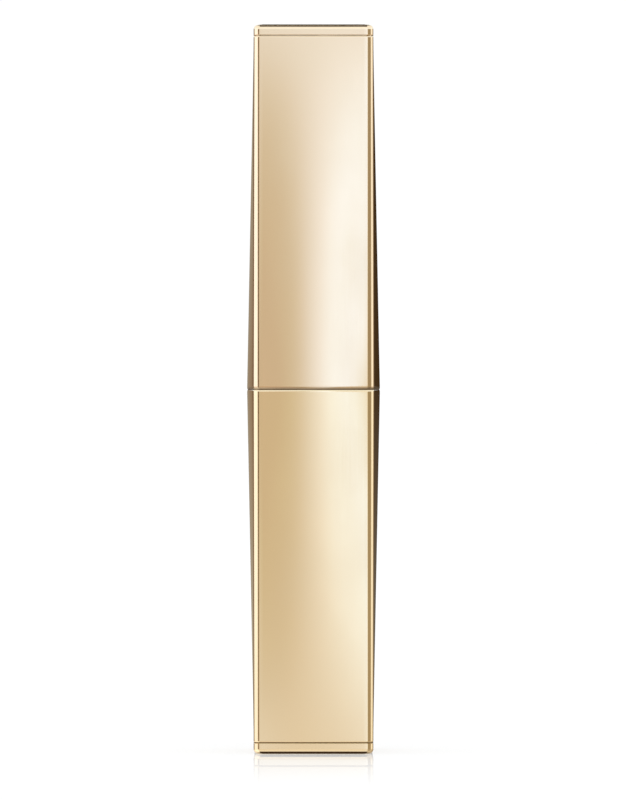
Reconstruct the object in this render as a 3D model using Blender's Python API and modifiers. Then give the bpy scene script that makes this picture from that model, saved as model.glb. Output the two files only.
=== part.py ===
"""Slim lipstick case: a square case with bowed faces, a magnetic pull-off cap and a twist-up bullet.

Run it with: blender --background --python part.py
Metres, +Z up. The origin is the centre of the foot, and the Z axis runs up the middle of the case.
The case is modelled closed: cap on, bullet wound down. Everything that turns or slides does so on Z.
"""
import math

import bmesh
import bpy

MM = 0.001

# Case, outside. Its four corners are straight and upright. Each face is flat at the ends of the
# case and bows out towards the seam between the base and the cap.
CASE_HEIGHT = 90.5 * MM
SEAM_HEIGHT = 45.2 * MM
SEAM_GAP = 0.1 * MM
END_HALF_WIDTH = 7.42 * MM
CORNER_CUT = 0.635 * MM
SEAM_BULGE = 0.88 * MM
PLATE_THICKNESS = 1.35 * MM
PLATE_GAP = 0.1 * MM
PLATE_EDGE_RADIUS = 0.6 * MM
ARRIS = 0.12 * MM
FACE_STEPS = 8
CORNER_STEPS = 3
EDGE_STEPS = 4

# Case, inside: one straight square pocket runs through both shells.
POCKET_HALF_WIDTH = 6.45 * MM
INSERT_HALF_WIDTH = 6.3 * MM
WEIGHT_HALF_WIDTH = 6.1 * MM
POCKET_CORNER = 1.0 * MM
SPIGOT_LENGTH = 1.3 * MM
FACE_CLEARANCE = 0.3 * MM

# Bullet and the tube around it
BULLET_RADIUS = 4.32 * MM
BULLET_LENGTH = 26.0 * MM
BULLET_TIP = 74.2 * MM
BULLET_TOP_RADIUS = 3.125 * MM
BULLET_CHAMFER_HEIGHT = 1.05 * MM
BULLET_ROOT_RADIUS = 3.75 * MM
BULLET_ROOT_LENGTH = 3.8 * MM
TUBE_RADIUS = 4.73 * MM
TUBE_WALL = 0.28 * MM
TUBE_RIM = 75.3 * MM
TUBE_FOOT = 42.0 * MM

# Twist-up mechanism: the guide turns with the tube, and the carrier climbs a helix in the base.
BULLET_TRAVEL = 15.0 * MM
HELIX_LEAD = 10.0 * MM
HELIX_STARTS = 2
HELIX_POINTS_PER_TURN = 24
GROOVE_RADIUS = 0.65 * MM
LUG_RADIUS = 0.42 * MM
LUG_REACH = 4.95 * MM
LUG_HEIGHT = 19.5 * MM
CUP_RADIUS = 4.275 * MM
CUP_BORE_RADIUS = 3.88 * MM
CUP_FOOT = 46.5 * MM
CUP_TOP = 52.0 * MM
CUP_FLOOR = 1.2 * MM
STEM_RADIUS = 3.7 * MM
STEM_BORE_RADIUS = 2.6 * MM
STEM_FOOT = 18.3 * MM
GUIDE_FOOT = 15.6 * MM
GUIDE_TOP = 46.1 * MM
GUIDE_RADIUS = 4.5 * MM
GUIDE_BORE_RADIUS = 3.95 * MM
GUIDE_SPIGOT_RADIUS = 4.35 * MM
GUIDE_SLOT_WIDTH = 1.3 * MM
FLANGE_RADIUS = 5.3 * MM
FLANGE_FOOT = 41.2 * MM
FLANGE_TOP = 41.9 * MM
SPIRAL_FOOT = 15.4 * MM
SPIRAL_TOP = 40.9 * MM
SPIRAL_RADIUS = 5.7 * MM
SPIRAL_BORE_RADIUS = 4.6 * MM
RING_RADIUS = 5.25 * MM
RING_THICKNESS = 0.9 * MM
RING_HEIGHT = 42.55 * MM

# Base inserts
CORE_FOOT = 13.6 * MM
CORE_FLOOR = 15.2 * MM
CORE_TOP = 43.1 * MM
CORE_BORE_RADIUS = 5.8 * MM
COLLAR_FOOT = 43.4 * MM
COLLAR_TOP = 45.05 * MM
COLLAR_BORE_RADIUS = 4.85 * MM
WEIGHT_FOOT = 3.0 * MM
WEIGHT_TOP = 13.3 * MM
LABEL_RADIUS = 4.4 * MM
LABEL_THICKNESS = 0.12 * MM
LABEL_RECESS_DEPTH = 0.25 * MM
LABEL_MARGIN = 0.1 * MM
LABEL_FOOT = 0.08 * MM

# Cap inserts
LINER_FOOT = 45.45 * MM
LINER_TOP = 87.5 * MM
LINER_BORE_RADIUS = 4.95 * MM
CROWN_RECESS_RADIUS = 5.0 * MM
CROWN_RECESS_TOP = 89.5 * MM

# Magnets, one in each corner of the collar and of the liner's mouth
MAGNET_RADIUS = 1.25 * MM
MAGNET_HEIGHT = 1.1 * MM
MAGNET_OFFSET = 4.7 * MM
MAGNET_CLEARANCE = 0.1 * MM
MAGNET_SEAT = 0.05 * MM
BASE_POCKET_DEPTH = 1.25 * MM
CAP_POCKET_SKIN = 0.35 * MM

TURNED_STEPS = 48
PIN_STEPS = 20
PAST = 1.0 * MM
MERGE_DISTANCE = 0.01 * MM

# Colour, roughness and metallic value of each material
FINISHES = {
    "base_shell": ((0.86, 0.70, 0.47), 0.16, 1.0),
    "base_end_plate": ((0.86, 0.70, 0.47), 0.14, 1.0),
    "base_collar": ((0.80, 0.63, 0.40), 0.35, 0.6),
    "base_core": ((0.78, 0.76, 0.72), 0.5, 0.0),
    "base_weight": ((0.45, 0.45, 0.46), 0.45, 1.0),
    "base_magnet": ((0.72, 0.72, 0.73), 0.25, 1.0),
    "shade_label": ((0.92, 0.90, 0.86), 0.55, 0.0),
    "spiral_sleeve": ((0.90, 0.90, 0.88), 0.45, 0.0),
    "guide_sleeve": ((0.88, 0.87, 0.84), 0.4, 0.0),
    "friction_ring": ((0.12, 0.12, 0.12), 0.6, 0.0),
    "tube_sleeve": ((0.87, 0.72, 0.50), 0.1, 1.0),
    "bullet_carrier": ((0.93, 0.93, 0.92), 0.4, 0.0),
    "lipstick_bullet": ((0.27, 0.012, 0.010), 0.22, 0.0),
    "cap_shell": ((0.88, 0.73, 0.50), 0.16, 1.0),
    "cap_end_plate": ((0.88, 0.73, 0.50), 0.14, 1.0),
    "cap_liner": ((0.82, 0.80, 0.76), 0.45, 0.0),
    "cap_magnet": ((0.72, 0.72, 0.73), 0.25, 1.0),
}


def clear_scene():
    """Remove every object that the open file holds."""
    for obj in list(bpy.data.objects):
        bpy.data.objects.remove(obj, do_unlink=True)


def new_collection(name):
    collection = bpy.data.collections.new(name)
    bpy.context.scene.collection.children.link(collection)
    return collection


def new_material(name):
    """A Principled material with the finish that the table gives the piece."""
    colour, roughness, metallic = FINISHES[name]
    material = bpy.data.materials.new(name)
    material.use_nodes = True
    shader = material.node_tree.nodes["Principled BSDF"]
    shader.inputs["Base Color"].default_value = (*colour, 1.0)
    shader.inputs["Roughness"].default_value = roughness
    shader.inputs["Metallic"].default_value = metallic
    return material


def mesh_object(name, mesh, collection, location=(0.0, 0.0, 0.0)):
    obj = bpy.data.objects.new(name, mesh)
    obj.location = location
    collection.objects.link(obj)
    return obj


def add_piece(name, mesh, parent, location=(0.0, 0.0, 0.0), finish=None):
    """Put a sub-part in the case's collection, with its material, on the axis that it moves on."""
    obj = mesh_object(name, mesh, bpy.data.collections["lipstick_case"], location)
    obj.data.materials.append(new_material(finish or name))
    obj.parent = parent
    return obj


def add_cutter(name, mesh, location=(0.0, 0.0, 0.0)):
    """A cutter, which shows as wire and isn't part of the case."""
    obj = mesh_object(name, mesh, bpy.data.collections["cutters"], location)
    obj.display_type = "WIRE"
    obj.hide_render = True
    return obj


def add_boolean(piece, other, operation="DIFFERENCE"):
    modifier = piece.modifiers.new(other.name, "BOOLEAN")
    modifier.object = other
    modifier.operation = operation
    modifier.solver = "EXACT"


def add_axis(name, parent=None):
    """An empty on the case's own axis, which a joint's pieces hang from."""
    axis = bpy.data.objects.new(name, None)
    axis.empty_display_size = 10 * MM
    bpy.data.collections["lipstick_case"].objects.link(axis)
    axis.parent = parent
    return axis


def finish_mesh(bm, name):
    mesh = bpy.data.meshes.new(name)
    bm.to_mesh(mesh)
    bm.free()
    mesh.shade_smooth()
    mesh.set_sharp_from_angle(angle=math.radians(30))
    return mesh


def cylinder_mesh(name, radius, height, segments=TURNED_STEPS):
    """A cylinder that stands on its own origin."""
    bm = bmesh.new()
    bmesh.ops.create_cone(
        bm, cap_ends=True, segments=segments, radius1=radius, radius2=radius, depth=height
    )
    bmesh.ops.translate(bm, verts=bm.verts, vec=(0.0, 0.0, height / 2))
    return finish_mesh(bm, name)


def box_mesh(name, size_x, size_y, height, corner=0.0):
    """A box that stands on its own origin, with its four upright edges rounded."""
    bm = bmesh.new()
    bmesh.ops.create_cube(bm, size=1.0)
    bmesh.ops.scale(bm, verts=bm.verts, vec=(size_x, size_y, height))
    bmesh.ops.translate(bm, verts=bm.verts, vec=(0.0, 0.0, height / 2))
    if corner:
        upright = [e for e in bm.edges if abs(e.verts[0].co.z - e.verts[1].co.z) > height / 2]
        bmesh.ops.bevel(bm, geom=upright, offset=corner, segments=4, profile=0.5, affect="EDGES")
    return finish_mesh(bm, name)


def turned_mesh(name, profile, on_axis):
    """The outline of a turned piece, as edges in the XZ plane that run down its outer side."""
    bm = bmesh.new()
    points = [bm.verts.new((radius, 0.0, height)) for radius, height in profile]
    for first, second in zip(points, points[1:]):
        bm.edges.new((first, second))
    if not on_axis:
        bm.edges.new((points[-1], points[0]))
    mesh = bpy.data.meshes.new(name)
    bm.to_mesh(mesh)
    bm.free()
    return mesh


def add_turned(name, profile, parent, on_axis=False):
    """A turned piece. Its profile is closed, or starts and ends on the axis of the case."""
    obj = add_piece(name, turned_mesh(name, profile, on_axis), parent)
    screw = obj.modifiers.new("turn", "SCREW")
    screw.axis = "Z"
    screw.angle = math.tau
    screw.steps = TURNED_STEPS
    screw.render_steps = TURNED_STEPS
    screw.use_merge_vertices = True
    screw.merge_threshold = MERGE_DISTANCE
    screw.use_smooth_shade = True
    return obj


def ring_profile(inner, outer, foot, top):
    return [(outer, top), (outer, foot), (inner, foot), (inner, top)]


def bulge_at(height):
    """How far a face bows out at a height: nothing at either end, most at the seam."""
    below = height / SEAM_HEIGHT
    above = (CASE_HEIGHT - height) / (CASE_HEIGHT - SEAM_HEIGHT)
    return SEAM_BULGE * min(below, above)


def case_section(height, inset):
    """One section of the case: four bowed faces between rounded corners, as a ring of points."""
    half = END_HALF_WIDTH - inset
    flat = half - CORNER_CUT
    bulge = bulge_at(height)
    side = []
    for step in range(FACE_STEPS):
        across = -flat + 2 * flat * step / FACE_STEPS
        side.append((across, -half - bulge * (1 - (across / flat) ** 2)))
    for step in range(CORNER_STEPS):
        angle = math.radians(90) * step / CORNER_STEPS
        side.append((flat + CORNER_CUT * math.sin(angle), -flat - CORNER_CUT * math.cos(angle)))
    ring = []
    for _ in range(4):
        ring += [(x, y, height) for x, y in side]
        side = [(-y, x) for x, y in side]
    return ring


def case_mesh(name, levels):
    """A loft through sections of the case, given as (height, inset) from the bottom up."""
    bm = bmesh.new()
    rings = [[bm.verts.new(co) for co in case_section(*level)] for level in levels]
    for lower, upper in zip(rings, rings[1:]):
        for here in range(len(lower)):
            after = (here + 1) % len(lower)
            bm.faces.new((lower[here], lower[after], upper[after], upper[here]))
    bm.faces.new(list(reversed(rings[0])))
    bm.faces.new(rings[-1])
    return finish_mesh(bm, name)


def shell_levels(foot, top):
    """A length of the case with a fine arris at both ends."""
    return [(foot, ARRIS), (foot + ARRIS, 0.0), (top - ARRIS, 0.0), (top, ARRIS)]


def plate_levels(face, joint):
    """An end plate: a round edge at its outer face and a fine arris at its joint with the shell."""
    inward = 1 if joint > face else -1
    levels = []
    for step in range(EDGE_STEPS + 1):
        angle = math.radians(90) * step / EDGE_STEPS
        rise = PLATE_EDGE_RADIUS * (1 - math.cos(angle))
        levels.append((face + inward * rise, PLATE_EDGE_RADIUS * (1 - math.sin(angle))))
    levels.append((joint - inward * ARRIS, 0.0))
    levels.append((joint, ARRIS))
    return levels if inward > 0 else levels[::-1]


def insert_mesh(name, half_width, length):
    return box_mesh(name, 2 * half_width, 2 * half_width, length, POCKET_CORNER)


def magnet_places():
    """The four corners that a magnet sits in, as X and Y."""
    return [(x * MAGNET_OFFSET, y * MAGNET_OFFSET) for x, y in ((1, 1), (-1, 1), (-1, -1), (1, -1))]


def cut_magnet_pockets(piece, foot, depth):
    """Bore the four magnet pockets in a piece."""
    radius = MAGNET_RADIUS + MAGNET_CLEARANCE
    for number, (x, y) in enumerate(magnet_places(), start=1):
        name = f"{piece.name}_pocket_{number}"
        cutter = add_cutter(name, cylinder_mesh(name, radius, depth, PIN_STEPS), (x, y, foot))
        add_boolean(piece, cutter)


def add_magnets(prefix, foot, parent):
    for number, (x, y) in enumerate(magnet_places(), start=1):
        name = f"{prefix}_{number}"
        mesh = cylinder_mesh(name, MAGNET_RADIUS, MAGNET_HEIGHT, PIN_STEPS)
        add_piece(name, mesh, parent, (x, y, foot), finish=prefix)


def cut_pocket(shell):
    """Cut the straight square pocket that runs right through a shell."""
    name = f"{shell.name}_pocket"
    mesh = insert_mesh(name, POCKET_HALF_WIDTH, CASE_HEIGHT + 2 * PAST)
    add_boolean(shell, add_cutter(name, mesh, (0.0, 0.0, -PAST)))


def cut_round(piece, name, radius, foot, top):
    """Bore a piece out on the case's axis, from foot to top."""
    mesh = cylinder_mesh(name, radius, top - foot)
    add_boolean(piece, add_cutter(name, mesh, (0.0, 0.0, foot)))


def build_base_shell(parent):
    foot = PLATE_THICKNESS + PLATE_GAP
    mesh = case_mesh("base_shell", shell_levels(foot, SEAM_HEIGHT - SEAM_GAP / 2))
    cut_pocket(add_piece("base_shell", mesh, parent))


def build_base_end_plate(parent):
    """The foot: it plugs into the shell, and a shallow round recess holds the shade label."""
    plate = add_piece(
        "base_end_plate", case_mesh("base_end_plate", plate_levels(0.0, PLATE_THICKNESS)), parent
    )
    length = PLATE_THICKNESS / 2 + SPIGOT_LENGTH
    spigot_mesh = insert_mesh("base_plate_spigot", INSERT_HALF_WIDTH, length)
    spigot = add_cutter("base_plate_spigot", spigot_mesh, (0.0, 0.0, PLATE_THICKNESS / 2))
    add_boolean(plate, spigot, "UNION")
    radius = LABEL_RADIUS + LABEL_MARGIN
    cut_round(plate, "label_recess", radius, -PAST, LABEL_RECESS_DEPTH)


def build_shade_label(parent):
    mesh = cylinder_mesh("shade_label", LABEL_RADIUS, LABEL_THICKNESS)
    add_piece("shade_label", mesh, parent, (0.0, 0.0, LABEL_FOOT))


def build_base_weight(parent):
    mesh = insert_mesh("base_weight", WEIGHT_HALF_WIDTH, WEIGHT_TOP - WEIGHT_FOOT)
    add_piece("base_weight", mesh, parent, (0.0, 0.0, WEIGHT_FOOT))


def build_base_core(parent):
    """The moulded block that fills the shell and holds the spiral sleeve."""
    mesh = insert_mesh("base_core", INSERT_HALF_WIDTH, CORE_TOP - CORE_FOOT)
    core = add_piece("base_core", mesh, parent, (0.0, 0.0, CORE_FOOT))
    cut_round(core, "core_bore", CORE_BORE_RADIUS, CORE_FLOOR, CORE_TOP + PAST)


def build_base_collar(parent):
    """The plate that closes the base around the tube, with a magnet under each corner."""
    mesh = insert_mesh("base_collar", INSERT_HALF_WIDTH, COLLAR_TOP - COLLAR_FOOT)
    collar = add_piece("base_collar", mesh, parent, (0.0, 0.0, COLLAR_FOOT))
    cut_round(collar, "collar_bore", COLLAR_BORE_RADIUS, COLLAR_FOOT - PAST, COLLAR_TOP + PAST)
    cut_magnet_pockets(collar, COLLAR_FOOT - PAST, PAST + BASE_POCKET_DEPTH)
    add_magnets("base_magnet", COLLAR_FOOT + MAGNET_SEAT, parent)


def helix_cutter(name, start_angle):
    """A round groove on a right-hand helix, from the carrier's lowest place out of the top end."""
    foot = LUG_HEIGHT - GROOVE_RADIUS
    turns = (SPIRAL_TOP + PAST - foot) / HELIX_LEAD
    count = round(turns * HELIX_POINTS_PER_TURN) + 1
    curve = bpy.data.curves.new(name, "CURVE")
    curve.dimensions = "3D"
    curve.bevel_depth = GROOVE_RADIUS
    curve.bevel_resolution = 2
    curve.use_fill_caps = True
    spline = curve.splines.new("POLY")
    spline.points.add(count - 1)
    for step, point in enumerate(spline.points):
        height = foot + HELIX_LEAD * step / HELIX_POINTS_PER_TURN
        angle = start_angle + math.tau * (height - LUG_HEIGHT) / HELIX_LEAD
        x = SPIRAL_BORE_RADIUS * math.cos(angle)
        y = SPIRAL_BORE_RADIUS * math.sin(angle)
        point.co = (x, y, height, 1.0)
    return curve_cutter(name, curve)


def curve_cutter(name, curve):
    """Turn a bevelled curve into a welded cutter mesh."""
    wire = bpy.data.objects.new(name + "_path", curve)
    bpy.data.collections["cutters"].objects.link(wire)
    depsgraph = bpy.context.evaluated_depsgraph_get()
    mesh = bpy.data.meshes.new_from_object(wire.evaluated_get(depsgraph))
    bm = bmesh.new()
    bm.from_mesh(mesh)
    bmesh.ops.remove_doubles(bm, verts=bm.verts, dist=MERGE_DISTANCE)
    bm.to_mesh(mesh)
    bm.free()
    cutter = add_cutter(name, mesh)
    cutter.matrix_world = wire.matrix_world.copy()
    bpy.data.objects.remove(wire, do_unlink=True)
    return cutter


def build_spiral_sleeve(parent):
    """The fixed sleeve: its grooves open at the top, where the carrier's lugs go in."""
    profile = ring_profile(SPIRAL_BORE_RADIUS, SPIRAL_RADIUS, SPIRAL_FOOT, SPIRAL_TOP)
    sleeve = add_turned("spiral_sleeve", profile, parent)
    for start in range(HELIX_STARTS):
        angle = math.tau * start / HELIX_STARTS
        add_boolean(sleeve, helix_cutter(f"spiral_groove_{start + 1}", angle))


def build_guide_sleeve(parent):
    """The sleeve that turns with the tube: a slotted skirt, a flange, and a spigot for the tube."""
    profile = [
        (GUIDE_SPIGOT_RADIUS, GUIDE_TOP),
        (GUIDE_SPIGOT_RADIUS, FLANGE_TOP),
        (FLANGE_RADIUS, FLANGE_TOP),
        (FLANGE_RADIUS, FLANGE_FOOT),
        (GUIDE_RADIUS, FLANGE_FOOT),
        (GUIDE_RADIUS, GUIDE_FOOT),
        (GUIDE_BORE_RADIUS, GUIDE_FOOT),
        (GUIDE_BORE_RADIUS, GUIDE_TOP),
    ]
    guide = add_turned("guide_sleeve", profile, parent)
    foot = LUG_HEIGHT - GUIDE_SLOT_WIDTH
    length = BULLET_TRAVEL + 2 * GUIDE_SLOT_WIDTH
    mesh = box_mesh("guide_slot", 2 * FLANGE_RADIUS + PAST, GUIDE_SLOT_WIDTH, length)
    add_boolean(guide, add_cutter("guide_slot", mesh, (0.0, 0.0, foot)))


def build_friction_ring(parent):
    """The soft ring between the flange and the collar, which gives the twist its drag."""
    half = RING_THICKNESS / 2
    profile = []
    for step in range(10):
        angle = math.radians(90) - math.tau * step / 10
        profile.append((RING_RADIUS + half * math.cos(angle), RING_HEIGHT + half * math.sin(angle)))
    add_turned("friction_ring", profile, parent)


def build_tube_sleeve(parent):
    profile = ring_profile(TUBE_RADIUS - TUBE_WALL, TUBE_RADIUS, TUBE_FOOT, TUBE_RIM)
    add_turned("tube_sleeve", profile, parent)


def build_bullet_carrier(parent):
    """The cup that holds the bullet, on a hollow stem with a lug on each side of its foot."""
    profile = [
        (CUP_RADIUS, CUP_TOP),
        (CUP_RADIUS, CUP_FOOT),
        (STEM_RADIUS, CUP_FOOT),
        (STEM_RADIUS, STEM_FOOT),
        (STEM_BORE_RADIUS, STEM_FOOT),
        (STEM_BORE_RADIUS, CUP_FOOT),
        (0.0, CUP_FOOT),
    ]
    profile = [(0.0, CUP_FOOT + CUP_FLOOR), (CUP_BORE_RADIUS, CUP_FOOT + CUP_FLOOR),
               (CUP_BORE_RADIUS, CUP_TOP)] + profile
    carrier = add_turned("bullet_carrier", profile, parent, on_axis=True)
    root = (STEM_RADIUS + STEM_BORE_RADIUS) / 2
    for number, side in enumerate((1, -1), start=1):
        name = f"carrier_lug_{number}"
        lug = add_cutter(name, cylinder_mesh(name, LUG_RADIUS, LUG_REACH - root, PIN_STEPS))
        lug.rotation_euler = (0.0, side * math.radians(90), 0.0)
        lug.location = (side * root, 0.0, LUG_HEIGHT)
        add_boolean(carrier, lug, "UNION")


def build_lipstick_bullet(parent):
    """The bullet: a cylinder with a broad chamfer round its flat tip, and a root in the cup."""
    foot = BULLET_TIP - BULLET_LENGTH
    shoulder = foot + BULLET_ROOT_LENGTH + FACE_CLEARANCE
    profile = [
        (0.0, BULLET_TIP),
        (BULLET_TOP_RADIUS, BULLET_TIP),
        (BULLET_RADIUS, BULLET_TIP - BULLET_CHAMFER_HEIGHT),
        (BULLET_RADIUS, shoulder),
        (BULLET_ROOT_RADIUS, shoulder),
        (BULLET_ROOT_RADIUS, foot),
        (0.0, foot),
    ]
    add_turned("lipstick_bullet", profile, parent, on_axis=True)


def build_cap_shell(parent):
    top = CASE_HEIGHT - PLATE_THICKNESS - PLATE_GAP
    mesh = case_mesh("cap_shell", shell_levels(SEAM_HEIGHT + SEAM_GAP / 2, top))
    cut_pocket(add_piece("cap_shell", mesh, parent))


def build_cap_end_plate(parent):
    """The crown: it plugs into the shell, and is hollow underneath to clear the raised bullet."""
    joint = CASE_HEIGHT - PLATE_THICKNESS
    plate = add_piece(
        "cap_end_plate", case_mesh("cap_end_plate", plate_levels(CASE_HEIGHT, joint)), parent
    )
    foot = joint - SPIGOT_LENGTH
    length = SPIGOT_LENGTH + PLATE_THICKNESS / 2
    spigot_mesh = insert_mesh("cap_plate_spigot", INSERT_HALF_WIDTH, length)
    add_boolean(plate, add_cutter("cap_plate_spigot", spigot_mesh, (0.0, 0.0, foot)), "UNION")
    cut_round(plate, "crown_recess", CROWN_RECESS_RADIUS, foot - PAST, CROWN_RECESS_TOP)


def build_cap_liner(parent):
    """The moulded liner: a round bore for the tube, and a cored hole down each corner."""
    mesh = insert_mesh("cap_liner", INSERT_HALF_WIDTH, LINER_TOP - LINER_FOOT)
    liner = add_piece("cap_liner", mesh, parent, (0.0, 0.0, LINER_FOOT))
    cut_round(liner, "liner_bore", LINER_BORE_RADIUS, LINER_FOOT - PAST, LINER_TOP + PAST)
    foot = LINER_FOOT + CAP_POCKET_SKIN
    cut_magnet_pockets(liner, foot, LINER_TOP + PAST - foot)
    add_magnets("cap_magnet", foot + MAGNET_SEAT, parent)


def main():
    clear_scene()
    new_collection("lipstick_case")
    new_collection("cutters")
    base = add_axis("base_frame")
    build_base_shell(base)
    build_base_end_plate(base)
    build_shade_label(base)
    build_base_weight(base)
    build_base_core(base)
    build_base_collar(base)
    build_spiral_sleeve(base)
    tube = add_axis("tube_twist_axis", base)
    build_guide_sleeve(tube)
    build_friction_ring(tube)
    build_tube_sleeve(tube)
    bullet = add_axis("bullet_rise_axis", tube)
    build_bullet_carrier(bullet)
    build_lipstick_bullet(bullet)
    cap = add_axis("cap_pull_axis", base)
    build_cap_shell(cap)
    build_cap_end_plate(cap)
    build_cap_liner(cap)


main()
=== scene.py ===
"""Looks of the slim lipstick case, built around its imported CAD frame. Metres, +Z up, at rest."""
import math

import bmesh
import bpy
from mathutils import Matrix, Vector


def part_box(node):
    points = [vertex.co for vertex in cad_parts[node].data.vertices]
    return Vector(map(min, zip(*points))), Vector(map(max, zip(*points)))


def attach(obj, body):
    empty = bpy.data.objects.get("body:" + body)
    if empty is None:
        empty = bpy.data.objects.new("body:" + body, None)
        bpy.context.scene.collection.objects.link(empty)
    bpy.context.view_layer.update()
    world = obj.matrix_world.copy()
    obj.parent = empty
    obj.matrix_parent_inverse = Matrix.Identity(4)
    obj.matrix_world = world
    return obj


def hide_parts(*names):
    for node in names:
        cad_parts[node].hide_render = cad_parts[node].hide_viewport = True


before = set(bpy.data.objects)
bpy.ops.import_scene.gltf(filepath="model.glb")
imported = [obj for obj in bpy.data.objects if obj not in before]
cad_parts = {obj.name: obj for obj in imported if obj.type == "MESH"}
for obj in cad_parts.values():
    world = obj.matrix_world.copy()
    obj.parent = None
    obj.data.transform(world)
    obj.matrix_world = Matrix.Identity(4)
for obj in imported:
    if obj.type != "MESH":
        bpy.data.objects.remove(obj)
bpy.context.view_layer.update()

MM = 0.001

# ---------------------------------------------------------------- sizes, read from the frame
FOOT_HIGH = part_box("base_end_plate")[1]
BASE_LOW, BASE_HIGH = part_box("base_shell")
COLLAR_LOW, COLLAR_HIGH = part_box("base_collar")
CAP_LOW, CAP_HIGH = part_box("cap_shell")
CROWN_LOW, CROWN_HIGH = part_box("cap_end_plate")
LINER_LOW, LINER_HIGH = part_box("cap_liner")
TUBE_LOW, TUBE_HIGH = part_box("tube_sleeve")
BULLET_LOW, BULLET_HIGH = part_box("lipstick_bullet")
LABEL_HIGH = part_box("shade_label")[1]

CASE_HEIGHT = CROWN_HIGH.z
SEAM_HEIGHT = (BASE_HIGH.z + CAP_LOW.z) / 2
ARRIS = 0.12 * MM
PLATE_GAP = 0.1 * MM
PLATE_THICKNESS = BASE_LOW.z - PLATE_GAP
CROWN_JOINT = CASE_HEIGHT - PLATE_THICKNESS
FLARE = (BASE_HIGH.x - FOOT_HIGH.x) / (BASE_HIGH.z - PLATE_THICKNESS)
END_HALF = FOOT_HIGH.x - FLARE * (PLATE_THICKNESS - ARRIS)
INSERT_HALF = COLLAR_HIGH.x
TUBE_RADIUS = TUBE_HIGH.x
BULLET_RADIUS = BULLET_HIGH.x

# ---------------------------------------------------------------- sizes of the fine detail
FACE_HALF = 6.66 * MM
# The part of the faces' flare that the corners take too.
CORNER_FLARE = 0.14
# A corner's outline has seven stretches. Where two meet, it points this many degrees away from the face.
CORNER_TURNS = (24, 29, 30, 60, 61, 66)
# The length of each stretch against the others, and the number of edges that draw it.
CORNER_SHARES = (0.10, 0.17, 0.01, 0.56, 0.01, 0.13, 0.06)
CORNER_STEPS = (4, 4, 1, 8, 1, 4, 4)
POCKET_HALF = 6.45 * MM
POCKET_CORNER = 1.0 * MM
CAP_MOUTH_RISE = 0.42 * MM
BASE_MOUTH_RISE = 0.28 * MM
MOUTH_INSET = 0.06 * MM
END_ARRIS = 0.16 * MM
# How far from an arc the extra points stand that keep the surface beside it flat in shading.
EDGE_SUPPORT = 0.06 * MM
PLATE_EDGE_RADIUS = 0.6 * MM
JOINT_DEPTH = 0.16 * MM
JOINT_SLIT = 0.02 * MM
JOINT_ARRIS = 0.04 * MM
LIP_INSET = 0.08 * MM
LIP_HEIGHT = 0.15 * MM
LIP_CLEARANCE = 0.05 * MM
COLLAR_BORE = 4.85 * MM
LINER_BORE = 4.95 * MM
# How far inside its corner the middle of a bore's rounded edge lies, against the edge's size.
BORE_EDGE_SAG = 0.3
CROWN_RECESS = 5.0 * MM
CROWN_TOP_WALL = 1.0 * MM
LABEL_MARGIN = 0.1 * MM
LABEL_RECESS = 0.25 * MM
TUBE_WALL = 0.28 * MM
TUBE_ROLL = 0.45 * TUBE_WALL
BULLET_TOP_RADIUS = 3.125 * MM
BULLET_TIP_HUB = 0.4 * MM
BULLET_CHAMFER = 1.05 * MM
BULLET_ROOT_RADIUS = 3.75 * MM
BULLET_ROOT_HEIGHT = 4.1 * MM
BULLET_SHOULDER_EDGE = 0.15 * MM
BULLET_CHAMFER_EDGE = 0.5 * MM
BULLET_TIP_EDGE = 0.35 * MM
MAGNET_COUNT = 4
MAGNET_CLEARANCE = 0.1 * MM

PRINT_MIDDLE = 59.9 * MM
PRINT_SINK = -0.01 * MM
PRINT_LIFT = 0.015 * MM
PRINT_RULE = 0.3 * MM
PRINT_GAP = 0.7 * MM
PRINT_STEPS = 6
RULE_LENGTH = 5.6 * MM
LOZENGE_WIDTH = 1.7 * MM
LOZENGE_HEIGHT = 2.9 * MM
# Rows of the lozenge, from its top to its foot, as shares of half its height. The tips are a little blunt.
LOZENGE_ROWS = (0.97, 0.5, 0, -0.5, -0.97)
DOT_RADIUS = 0.3 * MM
DOT_STEPS = 8
# A dot's rows start and end this many degrees round from its top and its foot.
DOT_TRIM = 12

FACE_STEPS = 28
SHELL_LEVELS = 16
ARC_STEPS = 5
TURN_STEPS = 144
SHARP_ANGLE = math.radians(38)

# Material slots of a shell's or a plate's rows. The first slot, 0, holds its own gold; the others hold
# painted shade.
# Painted shade in the seam's gap and on the cap's first rows: the darkest metal.
SEAM_SHADE_SLOT = 1
# Painted shade up the cap's mouth edge: a darker band, then a faint half shade above it.
MOUTH_SHADE_SLOT = 2
MOUTH_HALF_SHADE_SLOT = 3
# Painted shade in an end plate's joint.
JOINT_SHADE_SLOT = 1


# ---------------------------------------------------------------- outlines, as rings of points
def flare_at(height):
    """How far the case's faces bow out at a height: most at the seam, nothing at the ends."""
    above = (CASE_HEIGHT - height) * SEAM_HEIGHT / (CASE_HEIGHT - SEAM_HEIGHT)
    return FLARE * max(0.0, min(height, above))


def corner_outline(start):
    """Unit outline of a corner between faces that slope by start: a rounded land with a ledge each side."""
    turns = [start] + [math.radians(turn) for turn in CORNER_TURNS] + [math.radians(90) - start]
    points = [(0.0, 0.0)]
    for steps, share, turn_from, turn_to in zip(CORNER_STEPS, CORNER_SHARES, turns, turns[1:]):
        for step in range(steps):
            turn = turn_from + (turn_to - turn_from) * (step + 0.5) / steps
            x, y = points[-1]
            points.append((x + share / steps * math.cos(turn), y + share / steps * math.sin(turn)))
    span = points[-1][0]
    return [(x / span, y / span) for x, y in points[:-1]]


def four_sides(side, height):
    """Repeat one side's points round the axis and lift them to a height."""
    ring = []
    for _ in range(4):
        ring += [Vector((x, y, height)) for x, y in side]
        side = [(-y, x) for x, y in side]
    return ring


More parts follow.
